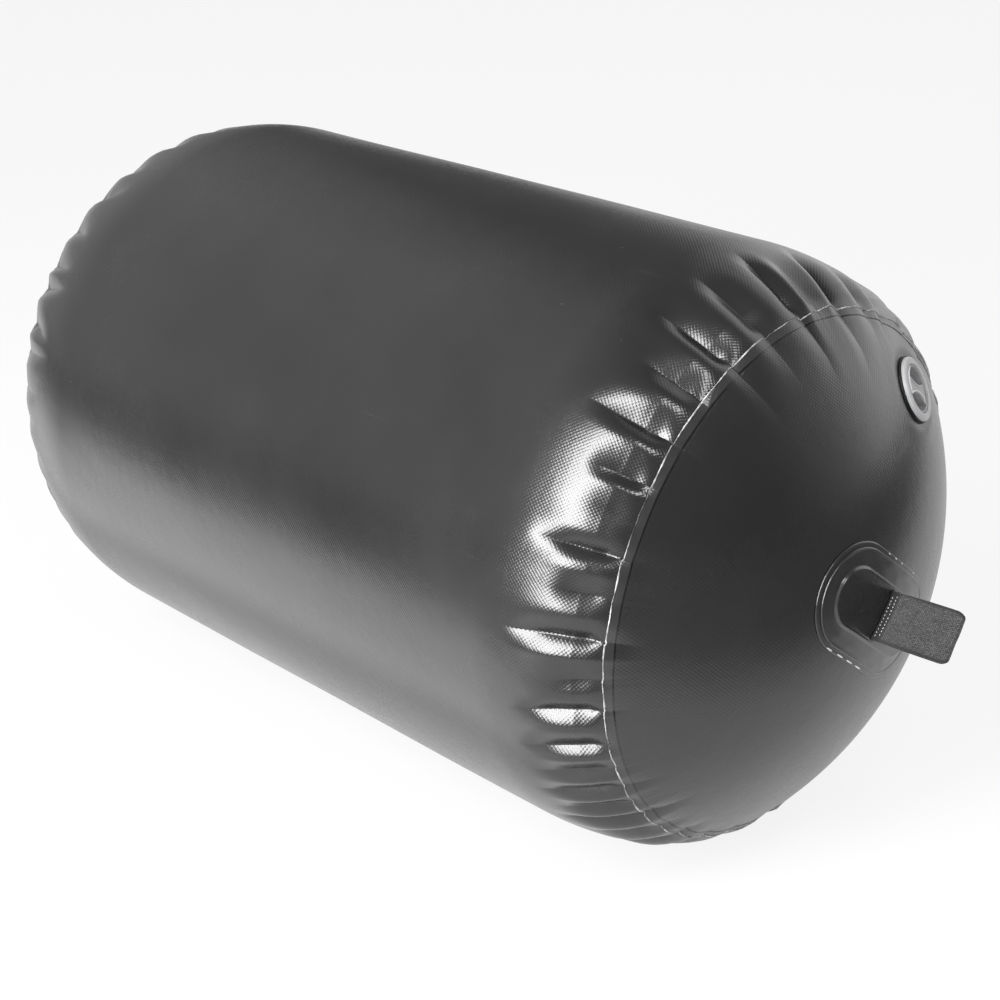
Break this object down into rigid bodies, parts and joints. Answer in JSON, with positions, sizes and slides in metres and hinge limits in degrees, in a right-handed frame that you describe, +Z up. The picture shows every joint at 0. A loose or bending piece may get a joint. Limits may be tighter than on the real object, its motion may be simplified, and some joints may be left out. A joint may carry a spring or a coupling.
{
  "type": "inflatable boat fender",
  "caption": "Cylindrical inflatable boat fender with gathered ends, a welded webbing loop on each end and a flush air valve with a turning cap.",
  "frame": {"origin": "on the surface that the fender lies on, under the middle of its bounding box", "axes": "+Z up, +X along the fender's axis towards the end with the valve"},
  "size_m": [1.2698, 0.61, 0.608],
  "materials": {
    "coated_fabric": "satin coated woven fabric",
    "patch_fabric": "gloss coated fabric",
    "webbing": "matt woven webbing",
    "grey_plastic": "satin moulded plastic",
    "black_rubber": "matt rubber",
    "spring_steel": "bright wire"
  },
  "bodies": {
    "bag": {"fender_bag": "coated_fabric", "near_end_disc": "coated_fabric", "near_base_patch": "patch_fabric", "near_cover_patch": "patch_fabric", "near_webbing_loop": "webbing", "far_base_patch": "patch_fabric", "far_cover_patch": "patch_fabric", "far_webbing_loop": "webbing", "valve_body": "grey_plastic", "valve_gasket": "black_rubber", "valve_base_nut": "grey_plastic", "poppet_spring": "spring_steel"},
    "cap": {"valve_cap": "grey_plastic", "cap_seal_ring": "black_rubber"},
    "poppet": {"poppet_stem": "grey_plastic", "poppet_seal": "black_rubber", "push_button": "grey_plastic"}
  },
  "joints": [
    {"name": "cap_turn", "type": "hinge", "parent": "bag", "child": "cap", "pos_m": [0.49012, 0.12937, 0.47219], "axis": [0.8397, 0.3299, 0.4315], "range_deg": [0, 90]},
    {"name": "poppet_push", "type": "slide", "parent": "bag", "child": "poppet", "axis": [-0.8397, -0.3299, -0.4315], "range_m": [0, 0.004], "stiffness_N_per_m": 300, "springref_m": -0.01, "deforming": ["poppet_spring"]}
  ]
}
